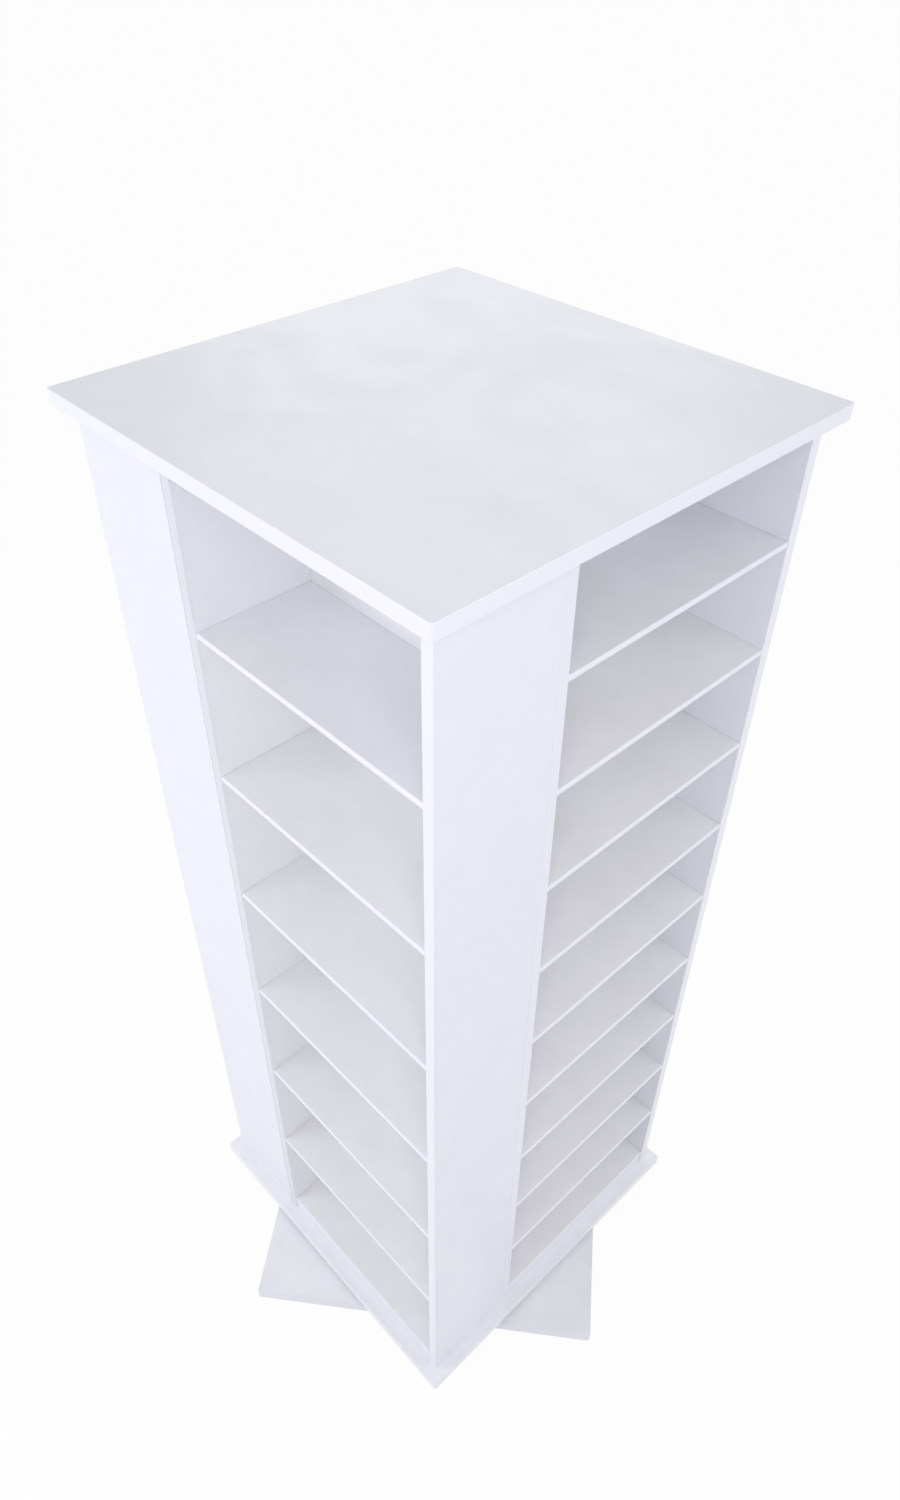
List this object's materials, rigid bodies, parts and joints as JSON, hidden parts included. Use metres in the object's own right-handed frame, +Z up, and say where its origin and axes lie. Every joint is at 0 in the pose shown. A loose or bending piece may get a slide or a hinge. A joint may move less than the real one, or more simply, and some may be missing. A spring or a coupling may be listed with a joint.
{
  "type": "rotating media tower",
  "caption": "Tall square media tower with open shelf units set as a pinwheel round a closed core, turning on a ball bearing over a square base plate.",
  "frame": {"origin": "on the floor at the middle of the base plate, on the axis that the tower turns about", "axes": "+Z up along the tower; the front unit faces -Y and the right unit faces +X at rest"},
  "size_m": [0.8136, 0.8136, 1.535],
  "materials": {
    "laminate": "white melamine laminate, satin",
    "edging": "white melamine laminate with a rounded front edge, satin",
    "zinc": "zinc-plated pressed steel",
    "ball_steel": "polished steel balls in a plain steel cage",
    "nylon": "moulded nylon"
  },
  "bodies": {
    "base": {"base_plate": "laminate", "bearing_lower_plate": "zinc", "glide_1": "nylon", "glide_2": "nylon", "glide_3": "nylon", "glide_4": "nylon"},
    "ball_cage": {"ball_cage": "ball_steel"},
    "tower": {"bearing_upper_plate": "zinc", "bottom_panel": "laminate", "top_panel": "laminate", "side_panel_front": "laminate", "back_panel_front": "laminate", "kick_board_front": "laminate", "floor_board_front": "edging", "shelf_front_1": "edging", "shelf_front_2": "edging", "shelf_front_3": "edging", "shelf_front_4": "edging", "shelf_front_5": "edging", "shelf_front_6": "edging", "side_panel_right": "laminate", "back_panel_right": "laminate", "kick_board_right": "laminate", "floor_board_right": "edging", "shelf_right_1": "edging", "shelf_right_2": "edging", "shelf_right_3": "edging", "shelf_right_4": "edging", "shelf_right_5": "edging", "shelf_right_6": "edging", "shelf_right_7": "edging", "shelf_right_8": "edging", "shelf_right_9": "edging", "side_panel_rear": "laminate", "back_panel_rear": "laminate", "kick_board_rear": "laminate", "floor_board_rear": "edging", "shelf_rear_1": "edging", "shelf_rear_2": "edging", "shelf_rear_3": "edging", "shelf_rear_4": "edging", "shelf_rear_5": "edging", "shelf_rear_6": "edging", "side_panel_left": "laminate", "back_panel_left": "laminate", "kick_board_left": "laminate", "floor_board_left": "edging", "shelf_left_1": "edging", "shelf_left_2": "edging", "shelf_left_3": "edging", "shelf_left_4": "edging", "shelf_left_5": "edging", "shelf_left_6": "edging", "shelf_left_7": "edging", "shelf_left_8": "edging", "shelf_left_9": "edging"}
  },
  "joints": [
    {"name": "tower_spin", "type": "hinge", "parent": "base", "child": "tower", "pos_m": [0, 0, 0.02475], "axis": [0, 0, 1], "continuous": true},
    {"name": "cage_spin", "type": "hinge", "parent": "base", "child": "ball_cage", "pos_m": [0, 0, 0.02475], "axis": [0, 0, 1], "continuous": true}
  ],
  "couplings": [
    {"joint": "cage_spin", "follows": "tower_spin", "ratio": 0.5}
  ]
}
